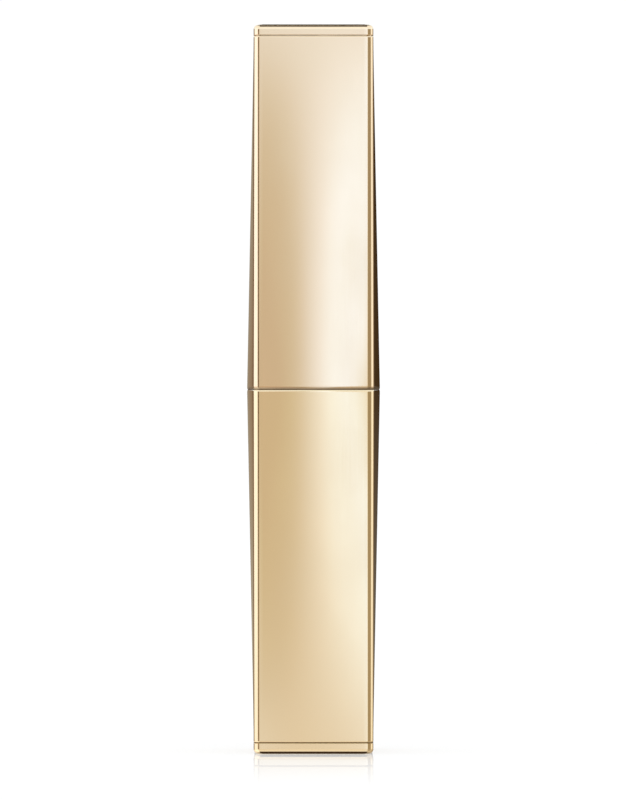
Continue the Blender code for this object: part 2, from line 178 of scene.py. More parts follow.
def case_ring(height, inset=0.0):
    """The case's outline: four bowed faces and four narrow corners, which flare far less than the faces."""
    flare = flare_at(height)
    half = END_HALF + CORNER_FLARE * flare - inset
    bow = (1 - CORNER_FLARE) * flare
    flat = FACE_HALF - inset
    corner = half - flat
    side = []
    for step in range(FACE_STEPS):
        across = flat * (2 * step / FACE_STEPS - 1)
        side.append((across, -half - bow * (1 - (across / flat) ** 2)))
    for x, y in corner_outline(math.atan(2 * bow / flat)):
        side.append((flat + corner * x, -half + corner * y))
    return four_sides(side, height)


def square_ring(half, corner, height):
    """A square with round corners, with as many points as case_ring."""
    flat = half - corner
    side = []
    for step in range(FACE_STEPS):
        side.append((flat * (2 * step / FACE_STEPS - 1), -half))
    corner_steps = sum(CORNER_STEPS)
    for step in range(corner_steps):
        angle = math.radians(90) * step / corner_steps
        side.append((flat + corner * math.sin(angle), -flat - corner * math.cos(angle)))
    return four_sides(side, height)


def round_ring(radius, height):
    """A circle whose points lie in the same directions as case_ring's."""
    ring = []
    for point in case_ring(0.0):
        direction = Vector((point.x, point.y, 0.0)).normalized()
        ring.append(direction * radius + Vector((0.0, 0.0, height)))
    return ring


def turned_ring(radius, height):
    """A circle of evenly spaced points."""
    ring = []
    for step in range(TURN_STEPS):
        angle = math.tau * step / TURN_STEPS
        ring.append(Vector((radius * math.cos(angle), radius * math.sin(angle), height)))
    return ring


def rounded(points, radii):
    """A polyline of (radius, height) with rounded inner corners, or sharp ones where radii has 0.

    A point a little way along each long side keeps that side's shading flat right up to the arc."""
    out = [points[0]]
    for before, here, after, radius in zip(points, points[1:], points[2:], radii):
        here = Vector(here)
        back = (Vector(before) - here).normalized()
        on = (Vector(after) - here).normalized()
        turn = math.pi - back.angle(on)
        if radius == 0:
            out.append(tuple(here))
            continue
        reach = radius * math.tan(turn / 2)
        centre = here + (back + on).normalized() * (radius / math.cos(turn / 2))
        start = here + back * reach - centre
        finish = here + on * reach - centre
        room = reach + 3 * EDGE_SUPPORT
        if (Vector(before) - here).length > room:
            out.append(tuple(here + back * (reach + EDGE_SUPPORT)))
        for step in range(ARC_STEPS + 1):
            share = step / ARC_STEPS
            first = math.sin((1 - share) * turn) / math.sin(turn)
            second = math.sin(share * turn) / math.sin(turn)
            out.append(tuple(centre + start * first + finish * second))
        if (Vector(after) - here).length > room:
            out.append(tuple(here + on * (reach + EDGE_SUPPORT)))
    out.append(points[-1])
    return out


# ---------------------------------------------------------------- meshes
def loft(name, rings, closed, row_slots=None):
    """Skin rings of equal length into one closed solid.

    Rings run up the outside, and a closed run comes back inside. row_slots gives the material slot of the
    rows, by number, that aren't in the first slot."""
    row_slots = row_slots or {}
    bm = bmesh.new()
    rows = [[bm.verts.new(co) for co in ring] for ring in rings]
    pairs = list(zip(rows, rows[1:]))
    if closed:
        pairs.append((rows[-1], rows[0]))
    count = len(rows[0])
    for number, (lower, upper) in enumerate(pairs):
        for here in range(count):
            after = (here + 1) % count
            face = bm.faces.new((lower[here], lower[after], upper[after], upper[here]))
            face.material_index = row_slots.get(number, 0)
    if not closed:
        bm.faces.new(list(reversed(rows[0])))
        bm.faces.new(rows[-1])
    mesh = bpy.data.meshes.new(name)
    bm.to_mesh(mesh)
    bm.free()
    mesh.shade_smooth()
    mesh.set_sharp_from_angle(angle=SHARP_ANGLE)
    obj = bpy.data.objects.new(name, mesh)
    bpy.context.scene.collection.objects.link(obj)
    return obj


def turned(name, profile, closed=False):
    """A turned solid from (radius, height) points that run up its outer side."""
    return loft(name, [turned_ring(radius, height) for radius, height in profile], closed)


def edge_levels(height, rise, inset, inward):
    """Heights and insets of a soft edge: inset at the height itself, none from a rise further inward."""
    levels = []
    for step in range(ARC_STEPS + 1):
        angle = math.radians(90) * step / ARC_STEPS
        levels.append((height + inward * rise * (1 - math.cos(angle)), inset * (1 - math.sin(angle))))
    levels.append((height + inward * (rise + EDGE_SUPPORT), 0.0))
    return levels


def cut_with(piece, cutters):
    """Subtract cutters from a piece for good, and remove them."""
    for cutter in cutters:
        modifier = piece.modifiers.new("cut", "BOOLEAN")
        modifier.object = cutter
        modifier.solver = "EXACT"
    depsgraph = bpy.context.evaluated_depsgraph_get()
    mesh = bpy.data.meshes.new_from_object(piece.evaluated_get(depsgraph))
    piece.modifiers.clear()
    piece.data = mesh
    for cutter in cutters:
        bpy.data.objects.remove(cutter, do_unlink=True)


def magnet_cutters(prefix, low, high):
    """Cylinders a little wider than the frame's own magnets, from low to high."""
    cutters = []
    for number in range(1, MAGNET_COUNT + 1):
        corner_low, corner_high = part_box(f"{prefix}_{number}")
        middle = (corner_low + corner_high) / 2
        radius = (corner_high.x - corner_low.x) / 2 + MAGNET_CLEARANCE
        cutter = turned(f"{prefix}_cutter_{number}", [(radius, low), (radius, high)])
        cutter.location = (middle.x, middle.y, 0.0)
        cutters.append(cutter)
    bpy.context.view_layer.update()
    return cutters


# ---------------------------------------------------------------- the pieces
def wall_levels(foot, head):
    """A shell's outer wall between the levels of its foot and head edges, each given from the end inward."""
    low, high = foot[-1][0], head[-1][0]
    wall = [(low + (high - low) * step / SHELL_LEVELS, 0.0) for step in range(1, SHELL_LEVELS)]
    return foot + wall + head[::-1]


def pocket_rings(top, bottom):
    """The straight square pocket, from its mouth at the top down to its foot."""
    return [
        square_ring(POCKET_HALF + ARRIS, POCKET_CORNER, top),
        square_ring(POCKET_HALF, POCKET_CORNER, top - ARRIS),
        square_ring(POCKET_HALF, POCKET_CORNER, bottom + ARRIS),
        square_ring(POCKET_HALF + ARRIS, POCKET_CORNER, bottom),
    ]


def build_base_case():
    """The lower shell: bowed outside, with a lip inside its mouth that closes the seam to light; its land
    and wall are painted dark as the seam's shade.
    """
    low, high = BASE_LOW.z, BASE_HIGH.z
    lip = high + LIP_HEIGHT
    foot = edge_levels(low, END_ARRIS, ARRIS, 1)
    mouth = edge_levels(high, BASE_MOUTH_RISE, MOUTH_INSET, -1)
    levels = wall_levels(foot, mouth)
    land_row = len(levels) - 1
    levels += [(high, LIP_INSET), (lip, LIP_INSET)]
    rings = [case_ring(*level) for level in levels] + pocket_rings(lip, low)
    return loft("base_case", rings, closed=True, row_slots={land_row: SEAM_SHADE_SLOT, land_row + 1: SEAM_SHADE_SLOT})


def build_cap_case():
    """The upper shell: bowed outside, rebated inside its mouth to pass over the base's lip.

    Its first rows, from the rebate out round the mouth's edge, are painted shade: dark at the seam, then
    lighter, then lighter again."""
    low, high = CAP_LOW.z, CAP_HIGH.z
    rebate = BASE_HIGH.z + LIP_HEIGHT + LIP_CLEARANCE
    mouth = edge_levels(low, CAP_MOUTH_RISE, MOUTH_INSET, 1)
    head = edge_levels(high, END_ARRIS, ARRIS, -1)
    levels = [(rebate, LIP_INSET)] + wall_levels(mouth, head)
    rings = [case_ring(*level) for level in levels] + pocket_rings(high, rebate)
    mouth_shade_slots = (SEAM_SHADE_SLOT, SEAM_SHADE_SLOT, MOUTH_SHADE_SLOT, MOUTH_SHADE_SLOT, MOUTH_HALF_SHADE_SLOT)
    return loft("cap_case", rings, closed=True, row_slots=dict(enumerate(mouth_shade_slots)))


def plate_side(face, joint):
    """Outer levels of an end plate, from its outer face to its joint: round edge, band and a step that
    carries painted shade.
    """
    inward = 1 if joint > face else -1
    levels = [(face, PLATE_EDGE_RADIUS + EDGE_SUPPORT)]
    levels += edge_levels(face, PLATE_EDGE_RADIUS, PLATE_EDGE_RADIUS, inward)
    levels.append((joint - inward * JOINT_ARRIS, 0.0))
    levels.append((joint, JOINT_ARRIS))
    levels.append((joint, JOINT_DEPTH))
    levels.append((joint + inward * (PLATE_GAP - JOINT_SLIT), JOINT_DEPTH))
    return levels


def joint_shade_slots(row):
    """Painted shade, as darker metal, on the two rows of a plate's step, from the given one."""
    return {row: JOINT_SHADE_SLOT, row + 1: JOINT_SHADE_SLOT}


def build_foot():
    """The base's end plate: a label recess below, a spigot above, and a step that fills the joint, painted
    dark as its shade.
    """
    label = LABEL_HIGH.x + LABEL_MARGIN
    rings = [
        round_ring(label, LABEL_RECESS),
        round_ring(label, ARRIS / 2),
        round_ring(label + ARRIS / 2, 0.0),
    ]
    rings += [case_ring(*level) for level in plate_side(0.0, PLATE_THICKNESS)]
    step_row = len(rings) - 3
    landing = PLATE_THICKNESS + PLATE_GAP - JOINT_SLIT
    rings.append(square_ring(INSERT_HALF, POCKET_CORNER, landing))
    rings.append(square_ring(INSERT_HALF, POCKET_CORNER, FOOT_HIGH.z - ARRIS))
    rings.append(square_ring(INSERT_HALF - ARRIS, POCKET_CORNER, FOOT_HIGH.z))
    return loft("foot_plate", rings, closed=False, row_slots=joint_shade_slots(step_row))


def build_crown():
    """The cap's end plate: a hollow spigot below, a flat top, and a step that fills the joint, painted dark
    as its shade.
    """
    low = CROWN_LOW.z
    landing = CROWN_JOINT - PLATE_GAP + JOINT_SLIT
    rings = [
        round_ring(CROWN_RECESS, CASE_HEIGHT - CROWN_TOP_WALL),
        round_ring(CROWN_RECESS, low + ARRIS),
        round_ring(CROWN_RECESS + ARRIS, low),
    ]
    rings.append(square_ring(INSERT_HALF - ARRIS, POCKET_CORNER, low))
    rings.append(square_ring(INSERT_HALF, POCKET_CORNER, low + ARRIS))
    rings.append(square_ring(INSERT_HALF, POCKET_CORNER, landing))
    step_row = len(rings)
    rings += [case_ring(*level) for level in plate_side(CASE_HEIGHT, CROWN_JOINT)[::-1]]
    return loft("crown_plate", rings, closed=False, row_slots=joint_shade_slots(step_row))


def build_insert(name, low, high, bore, edge):
    """A square insert with a round bore and softened edges."""
    half = INSERT_HALF
    middle = BORE_EDGE_SAG * edge
    rings = [
        square_ring(half - edge, POCKET_CORNER, low),
        square_ring(half, POCKET_CORNER, low + edge),
        square_ring(half, POCKET_CORNER, high - edge),
        square_ring(half - edge, POCKET_CORNER, high),
        round_ring(bore + edge, high),
        round_ring(bore + middle, high - middle),
        round_ring(bore, high - edge),
        round_ring(bore, low + edge),
        round_ring(bore + middle, low + middle),
        round_ring(bore + edge, low),
    ]
    return loft(name, rings, closed=True)


def build_collar():
    """The plate round the tube at the base's mouth, with pockets for the magnets in its underside."""
    collar = build_insert("mouth_collar", COLLAR_LOW.z, COLLAR_HIGH.z, COLLAR_BORE, ARRIS)
    pocket_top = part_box("base_magnet_1")[1].z + MAGNET_CLEARANCE
    cut_with(collar, magnet_cutters("base_magnet", COLLAR_LOW.z - MM, pocket_top))
    return collar


def build_liner():
    """The cap's liner, with the magnets' pockets open to its top."""
    liner = build_insert("cap_guide_liner", LINER_LOW.z, LINER_HIGH.z, LINER_BORE, 2 * ARRIS)
    pocket_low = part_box("cap_magnet_1")[0].z - MAGNET_CLEARANCE / 2
    cut_with(liner, magnet_cutters("cap_magnet", pocket_low, LINER_HIGH.z + MM))
    return liner


def build_tube():
    """The round tube: thin wall, rolled rim."""
    inner = TUBE_RADIUS - TUBE_WALL
    low, rim = TUBE_LOW.z, TUBE_HIGH.z
    outline = [(TUBE_RADIUS, low), (TUBE_RADIUS, rim), (inner, rim), (inner, low)]
    return turned("twist_tube", rounded(outline, (TUBE_ROLL, TUBE_ROLL)), closed=True)


def build_bullet():
    """The bullet: soft-edged chamfer round a flat tip, and the root that sits in the cup."""
    tip, foot = BULLET_HIGH.z, BULLET_LOW.z
    shoulder = foot + BULLET_ROOT_HEIGHT
    outline = [
        (BULLET_ROOT_RADIUS, foot),
        (BULLET_ROOT_RADIUS, shoulder),
        (BULLET_RADIUS, shoulder),
        (BULLET_RADIUS, tip - BULLET_CHAMFER),
        (BULLET_TOP_RADIUS, tip),
        (BULLET_TIP_HUB, tip),
    ]
    radii = (0.0, BULLET_SHOULDER_EDGE, BULLET_CHAMFER_EDGE, BULLET_TIP_EDGE)
    return turned("rouge_bullet", rounded(outline, radii))


def on_tube(across, height, lift):
    """A point on the tube's back at rest, by its distance round, its height and its lift off the metal."""
    angle = math.radians(90) - across / TUBE_RADIUS
    radius = TUBE_RADIUS + lift
    return Vector((radius * math.cos(angle), radius * math.sin(angle), height))


def print_patch(bm, rows):
    """One printed shape as a thin closed slab. Each row is its half width and height, from top to bottom."""
    layers = []
    for lift in (PRINT_SINK, PRINT_LIFT):
        grid = []
        for half, height in rows:
            spots = [half * (2 * step / PRINT_STEPS - 1) for step in range(PRINT_STEPS + 1)]
            grid.append([bm.verts.new(on_tube(spot, height, lift)) for spot in spots])
        layers.append(grid)
    under, over = layers
    last = len(rows) - 1
    for row in range(last):
        for step in range(PRINT_STEPS):
            patch = [(row, step), (row, step + 1), (row + 1, step + 1), (row + 1, step)]
            bm.faces.new([over[r][c] for r, c in reversed(patch)])
            bm.faces.new([under[r][c] for r, c in patch])
        for step in (0, PRINT_STEPS):
            rim = [under[row][step], over[row][step], over[row + 1][step], under[row + 1][step]]
            bm.faces.new(rim if step else rim[::-1])
    for row in (0, last):
        for step in range(PRINT_STEPS):
            rim = [under[row][step], over[row][step], over[row][step + 1], under[row][step + 1]]
            bm.faces.new(rim[::-1] if row else rim)


def build_ornament():
    """A plain printed mark in place of lettering: two slim rules, a lozenge between, a dot at each end."""
    rule = PRINT_RULE / 2
    gap = LOZENGE_HEIGHT / 2 + PRINT_GAP
    bm = bmesh.new()
    for side in (-1, 1):
        near = PRINT_MIDDLE + side * gap
        far = near + side * RULE_LENGTH
        print_patch(bm, [(rule, max(near, far)), (rule, min(near, far))])
        centre = far + side * (PRINT_GAP + DOT_RADIUS)
        print_patch(bm, disc_rows(DOT_RADIUS, centre))
    print_patch(bm, lozenge_rows())
    bmesh.ops.recalc_face_normals(bm, faces=bm.faces)
    mesh = bpy.data.meshes.new("tube_ornament")
    bm.to_mesh(mesh)
    bm.free()
    obj = bpy.data.objects.new("tube_ornament", mesh)
    bpy.context.scene.collection.objects.link(obj)
    return obj


def disc_rows(radius, centre):
    """A dot as rows of half width and height."""
    rows = []
    for step in range(DOT_STEPS + 1):
        angle = math.radians(DOT_TRIM + (180 - 2 * DOT_TRIM) * step / DOT_STEPS)
        rows.append((radius * math.sin(angle), centre + radius * math.cos(angle)))
    return rows


def lozenge_rows():
    """The lozenge as rows of half width and height."""
    rows = []
    for share in LOZENGE_ROWS:
        rows.append((LOZENGE_WIDTH / 2 * (1 - abs(share)), PRINT_MIDDLE + share * LOZENGE_HEIGHT / 2))
    return rows


# ---------------------------------------------------------------- materials
def new_material(name):
    """A material with its node tree and its Principled shader."""
    material = bpy.data.materials.new(name)
    material.use_nodes = True
    return material, material.node_tree, material.node_tree.nodes["Principled BSDF"]


def add_node(tree, kind, **inputs):
    """A shader node with values set on named inputs."""
    node = tree.nodes.new(kind)
    for key, value in inputs.items():
        node.inputs[key.replace("_", " ")].default_value = value
    return node


def object_coords(tree, scale):
    """The piece's own coordinates, scaled on each axis."""
    coords = tree.nodes.new("ShaderNodeTexCoord")
    mapping = tree.nodes.new("ShaderNodeMapping")
    mapping.inputs["Scale"].default_value = scale
    tree.links.new(coords.outputs["Object"], mapping.inputs["Vector"])
    return mapping.outputs["Vector"]


def noise(tree, scale, detail):
    """Noise in the piece's own coordinates, finer where the scale is larger."""
    node = add_node(tree, "ShaderNodeTexNoise", Scale=1.0, Detail=detail, Roughness=0.5)
    tree.links.new(object_coords(tree, scale), node.inputs["Vector"])
    return node.outputs["Fac"]


def spread(tree, value, low, high, source_low=0.3, source_high=0.7):
    """Map a value from its source range, which suits noise unless given, onto low..high."""
    node = tree.nodes.new("ShaderNodeMapRange")
    node.inputs["From Min"].default_value = source_low
    node.inputs["From Max"].default_value = source_high
    node.inputs["To Min"].default_value = low
    node.inputs["To Max"].default_value = high
    tree.links.new(value, node.inputs["Value"])
    return node.outputs["Result"]


def calculate(tree, operation, first, second=None):
    """One Math node on a socket, and on another socket or a plain number."""
    node = tree.nodes.new("ShaderNodeMath")
    node.operation = operation
    tree.links.new(first, node.inputs[0])
    if isinstance(second, float):
        node.inputs[1].default_value = second
    elif second is not None:
        tree.links.new(second, node.inputs[1])
    return node.outputs[0]


def blend_colour(tree, factor, first, second):
    """A colour between two plain ones, by a factor socket."""
    node = tree.nodes.new("ShaderNodeMix")
    node.data_type = "RGBA"
    node.inputs["A"].default_value = (*first, 1.0)
    node.inputs["B"].default_value = (*second, 1.0)
    tree.links.new(factor, node.inputs["Factor"])
    return node.outputs["Result"]


def add_bump(tree, shader, height, strength, distance):
    """Fine relief on a shader's surface, from a height socket."""
    bump = add_node(tree, "ShaderNodeBump", Strength=strength, Distance=distance)
    tree.links.new(height, bump.inputs["Height"])
    tree.links.new(bump.outputs["Normal"], shader.inputs["Normal"])


def gold(name, light, deep, roughness):
    """Polished anodised metal: faint vertical polishing lines, soft smudges, a clear lacquer."""
    material, tree, shader = new_material(name)
    smudge = noise(tree, (150, 150, 90), detail=4.0)
    lines = noise(tree, (9000, 9000, 60), detail=2.0)
    metal = blend_colour(tree, spread(tree, smudge, 0.0, 1.0), light, deep)
    tree.links.new(metal, shader.inputs["Base Color"])
    broad = spread(tree, smudge, roughness - 0.02, roughness + 0.03)
    fine = spread(tree, lines, -0.01, 0.01)
    tree.links.new(calculate(tree, "ADD", broad, fine), shader.inputs["Roughness"])
    shader.inputs["Metallic"].default_value = 1.0
    shader.inputs["Coat Weight"].default_value = 0.25
    shader.inputs["Coat Roughness"].default_value = 0.04
    add_bump(tree, shader, lines, 0.02, 0.004 * MM)
    return material


def wax(name):
    """Glossy pigmented wax: a deep red body with faint mottling under a strong, warm sheen."""
    material, tree, shader = new_material(name)
    mottle = noise(tree, (500, 500, 400), detail=5.0)
    skin = noise(tree, (1500, 1500, 300), detail=3.0)
    patches = spread(tree, mottle, 0.0, 1.0)
    body = blend_colour(tree, patches, (0.196, 0.0012, 0.0012), (0.178, 0.0008, 0.0008))
    tree.links.new(body, shader.inputs["Base Color"])
    tree.links.new(spread(tree, skin, 0.09, 0.13), shader.inputs["Roughness"])
    shader.inputs["IOR"].default_value = 2.1
    shader.inputs["Specular Tint"].default_value = (1.0, 0.30, 0.24, 1.0)
    add_bump(tree, shader, skin, 0.03, 0.01 * MM)
    return material


def moulded(name, colour, roughness):
    """Injection-moulded plastic with a fine texture."""
    material, tree, shader = new_material(name)
    fine = noise(tree, (2500, 2500, 2500), detail=2.0)
    broad = noise(tree, (200, 200, 120), detail=3.0)
    deep = tuple(0.9 * part for part in colour)
    plastic = blend_colour(tree, spread(tree, broad, 0.0, 1.0), colour, deep)
    tree.links.new(plastic, shader.inputs["Base Color"])
    tree.links.new(spread(tree, broad, roughness - 0.05, roughness + 0.05), shader.inputs["Roughness"])
    add_bump(tree, shader, fine, 0.15, 0.01 * MM)
    return material


def ink(name):
    """Matt black print with slightly uneven cover."""
    material, tree, shader = new_material(name)
    cover = noise(tree, (2500, 2500, 1500), detail=4.0)
    black = blend_colour(tree, spread(tree, cover, 0.0, 1.0), (0.012, 0.010, 0.009), (0.03, 0.025, 0.02))
    tree.links.new(black, shader.inputs["Base Color"])
    tree.links.new(spread(tree, cover, 0.4, 0.55), shader.inputs["Roughness"])
    add_bump(tree, shader, cover, 0.1, 0.003 * MM)
    return material


def plain_metal(name, colour, roughness):
    """Bare or plated metal with turning marks and a few dull patches."""
    material, tree, shader = new_material(name)
    marks = noise(tree, (3000, 3000, 9000), detail=3.0)
    patches = noise(tree, (300, 300, 300), detail=4.0)
    dull = tuple(0.8 * part for part in colour)
    metal = blend_colour(tree, spread(tree, patches, 0.0, 1.0), colour, dull)
    tree.links.new(metal, shader.inputs["Base Color"])
    tree.links.new(spread(tree, patches, roughness - 0.06, roughness + 0.08), shader.inputs["Roughness"])
    shader.inputs["Metallic"].default_value = 1.0
    add_bump(tree, shader, marks, 0.1, 0.005 * MM)
    return material


# ---------------------------------------------------------------- stage, light and camera
def studio_wall():
    """Colours round the light tent's walls, by degrees from the camera's side towards +X."""
    return [
        (-180, (0.37, 0.33, 0.25)),
        (-158, (0.30, 0.215, 0.145)),
        (-146, (0.11, 0.065, 0.03)),
        (-128, (0.11, 0.055, 0.03)),
        (-121, (0.40, 0.30, 0.22)),
        (-114, (1.25, 1.28, 1.40)),
        (-64, (1.30, 1.30, 1.42)),
        (-59, (0.75, 0.68, 0.62)),
        (-55, (0.14, 0.085, 0.045)),
        (-46, (0.15, 0.09, 0.045)),
        (-38, (0.56, 0.44, 0.33)),
        (-28, (0.74, 0.61, 0.52)),
        (-22, (0.655, 0.57, 0.47)),
        (-16, (0.655, 0.57, 0.47)),
        (-10.5, (0.73, 0.69, 0.59)),
        (-6.5, (0.82, 0.78, 0.78)),
        (-2.5, (0.88, 0.90, 0.98)),
        (4, (1.00, 1.05, 1.23)),
        (10, (1.10, 1.25, 1.55)),
        (15, (1.12, 1.32, 1.80)),
        (20, (1.12, 1.32, 1.75)),
        (25, (1.04, 1.14, 1.32)),
        (30, (0.86, 0.80, 0.72)),
        (37, (0.66, 0.57, 0.42)),
        (45, (0.365, 0.29, 0.185)),
        (78, (0.37, 0.295, 0.19)),
        (88, (1.18, 1.16, 1.13)),
        (107, (1.18, 1.16, 1.13)),
        (119, (0.46, 0.36, 0.28)),
        (128, (0.18, 0.125, 0.075)),
        (146, (0.065, 0.038, 0.015)),
        (180, (0.040, 0.020, 0.007)),
    ]


# The front wall's edge, as a share of a whole turn from the middle of the camera's side.
FRONT_WALL = 30 / 360
# How steep a direction is where the walls start to close in and where they stop, and by how much they do.
SQUEEZE_START = 0.035
SQUEEZE_STOP = 0.09
SQUEEZE = 2.8

# Bands across the walls, by the height of a direction, from -1 straight down to 1 straight up: where a band
# starts, where it is full, how much of it shows there, and its colour.
LOW_BAND = (0.0, -0.04, 0.12, (0.92, 0.86, 0.74))
SKIRTING = (-0.04, -0.09, 1.0, (0.88, 0.79, 0.67))
FLOOR_BAND = (-0.12, -0.34, 0.7)
UNDER_FOOT = (-0.90, -0.98, 1.0, (0.08, 0.05, 0.03))
UPPER_WALL = (0.10, 0.24, 0.9, (1.12, 1.22, 1.36))
CEILING = (0.35, 0.7, 0.8, (1.06, 1.05, 1.02))

# The floor band's own colours, on the left and on the right, and how far to each side they are reached.
FLOOR_LEFT = (1.50, 1.45, 1.40)
FLOOR_RIGHT = (0.52, 0.45, 0.37)
FLOOR_TURN = 0.75

# A dark card overhead, with a bright opening straight above the case: its edge towards the camera, its lower
# edge, the opening's edge and its sides, each as where the card starts and where it is full.
CARD_COLOUR = (0.04, 0.025, 0.015)
CARD_FRONT = (-0.62, -0.5)
CARD_LOW = (0.55, 0.65)
CARD_OPENING = (0.9995, 0.9975)
CARD_SIDES = (0.45, 0.2)

# What lights matt surfaces, from the camera's side and from behind, and what is seen of the tent itself.
EVEN_FRONT = (1.5, 1.5, 1.5)
EVEN_BACK = (0.7, 0.7, 0.7)
TENT_WHITE = (1.02, 1.02, 1.02)


def tint(tree, factor, under, colour, how="MIX"):
    """Lay a plain colour, or another colour socket, over a colour socket by a factor socket."""
    node = tree.nodes.new("ShaderNodeMix")
    node.data_type = "RGBA"
    node.blend_type = how
    if isinstance(colour, tuple):
        node.inputs["B"].default_value = (*colour, 1.0)
    else:
        tree.links.new(colour, node.inputs["B"])
    tree.links.new(factor, node.inputs["Factor"])
    tree.links.new(under, node.inputs["A"])
    return node.outputs["Result"]


def lay_band(tree, height, under, start, full, share, colour, how="MIX"):
    """Lay a band of colour over the walls that starts at one height and is full at another."""
    return tint(tree, spread(tree, height, 0.0, share, start, full), under, colour, how)


def sky_axes(tree):
    """Where a direction points: turns round the case, and its part to the side, in depth and in height."""
    coords = tree.nodes.new("ShaderNodeTexCoord")
    turn = tree.nodes.new("ShaderNodeMapping")
    turn.inputs["Rotation"].default_value = (0.0, 0.0, math.radians(90))
    tree.links.new(coords.outputs["Generated"], turn.inputs["Vector"])
    around = tree.nodes.new("ShaderNodeTexGradient")
    around.gradient_type = "RADIAL"
    tree.links.new(turn.outputs["Vector"], around.inputs["Vector"])
    split = tree.nodes.new("ShaderNodeSeparateXYZ")
    tree.links.new(coords.outputs["Generated"], split.inputs["Vector"])
    return around.outputs["Fac"], split.outputs["X"], split.outputs["Y"], split.outputs["Z"]


def fold_azimuth(tree, turns, steepness):
    """Squeeze the front wall's pattern together away from eye level: a tent's walls are close, not far."""
    centred = calculate(tree, "SUBTRACT", turns, 0.5)
    spread_out = calculate(tree, "ABSOLUTE", centred)
    squeeze = spread(tree, steepness, 1.0, SQUEEZE, SQUEEZE_START, SQUEEZE_STOP)
    pressed = calculate(tree, "MINIMUM", calculate(tree, "MULTIPLY", spread_out, squeeze), FRONT_WALL)
    folded = calculate(tree, "MAXIMUM", spread_out, pressed)
    signed = calculate(tree, "MULTIPLY", folded, calculate(tree, "SIGN", centred))
    return calculate(tree, "ADD", signed, 0.5)


def wall_colours(tree, turns):
    """The walls' colours, by turns round the case."""
    ramp = tree.nodes.new("ShaderNodeValToRGB")
    stops = ramp.color_ramp.elements
    walls = studio_wall()
    stops[0].position, stops[0].color = 0.0, (*walls[0][1], 1.0)
    stops[1].position, stops[1].color = 1.0, (*walls[-1][1], 1.0)
    for degrees, colour in walls[1:-1]:
        stops.new(degrees / 360 + 0.5).color = (*colour, 1.0)
    tree.links.new(turns, ramp.inputs["Fac"])
    return ramp.outputs["Color"]


def card_overhead(tree, side, depth, steepness):
    """Where the dark card overhead shows."""
    card = spread(tree, depth, 0.0, 1.0, *CARD_FRONT)
    off_middle = calculate(tree, "ABSOLUTE", side)
    for where, edge in ((steepness, CARD_LOW), (steepness, CARD_OPENING), (off_middle, CARD_SIDES)):
        card = calculate(tree, "MULTIPLY", card, spread(tree, where, 0.0, 1.0, *edge))
    return card


def build_world():
    """A light tent: plain white to the eye, patterned walls in the metal, even light on matt surfaces."""
    world = bpy.data.worlds.new("light_tent")
    bpy.context.scene.world = world
    world.use_nodes = True
    tree = world.node_tree
    tree.nodes.clear()
    turns, side, depth, height = sky_axes(tree)
    steepness = calculate(tree, "ABSOLUTE", height)

    lit = wall_colours(tree, fold_azimuth(tree, turns, steepness))
    lit = lay_band(tree, height, lit, *LOW_BAND)
    lit = lay_band(tree, height, lit, *SKIRTING, "MULTIPLY")
    across = spread(tree, side, 0.0, 1.0, -FLOOR_TURN, FLOOR_TURN)
    lit = lay_band(tree, height, lit, *FLOOR_BAND, blend_colour(tree, across, FLOOR_LEFT, FLOOR_RIGHT))
    lit = lay_band(tree, height, lit, *UNDER_FOOT)
    lit = lay_band(tree, height, lit, *UPPER_WALL)
    lit = lay_band(tree, height, lit, *CEILING)
    lit = tint(tree, card_overhead(tree, side, depth, steepness), lit, CARD_COLOUR)

    rays = tree.nodes.new("ShaderNodeLightPath")
    even = blend_colour(tree, spread(tree, depth, 0.0, 1.0, -1.0, 1.0), EVEN_FRONT, EVEN_BACK)
    lit = tint(tree, rays.outputs["Is Diffuse Ray"], lit, even)
    lit = tint(tree, rays.outputs["Is Singular Ray"], lit, TENT_WHITE)
    lit = tint(tree, rays.outputs["Is Camera Ray"], lit, TENT_WHITE)
    background = tree.nodes.new("ShaderNodeBackground")
    output = tree.nodes.new("ShaderNodeOutputWorld")
    tree.links.new(lit, background.inputs["Color"])
    tree.links.new(background.outputs["Background"], output.inputs["Surface"])


FLOOR_HALF = 6.0
# The floor lies this little under the foot, so that the two don't share a plane.
FLOOR_GAP = 0.01 * MM
FLOOR_GLOW = 1.07
FLOOR_GLOW_SHARE = 0.5
# How strongly the floor mirrors the case at its middle, and how far out it stops doing so.
SHEEN = 0.50
SHEEN_REACH = 115 * MM


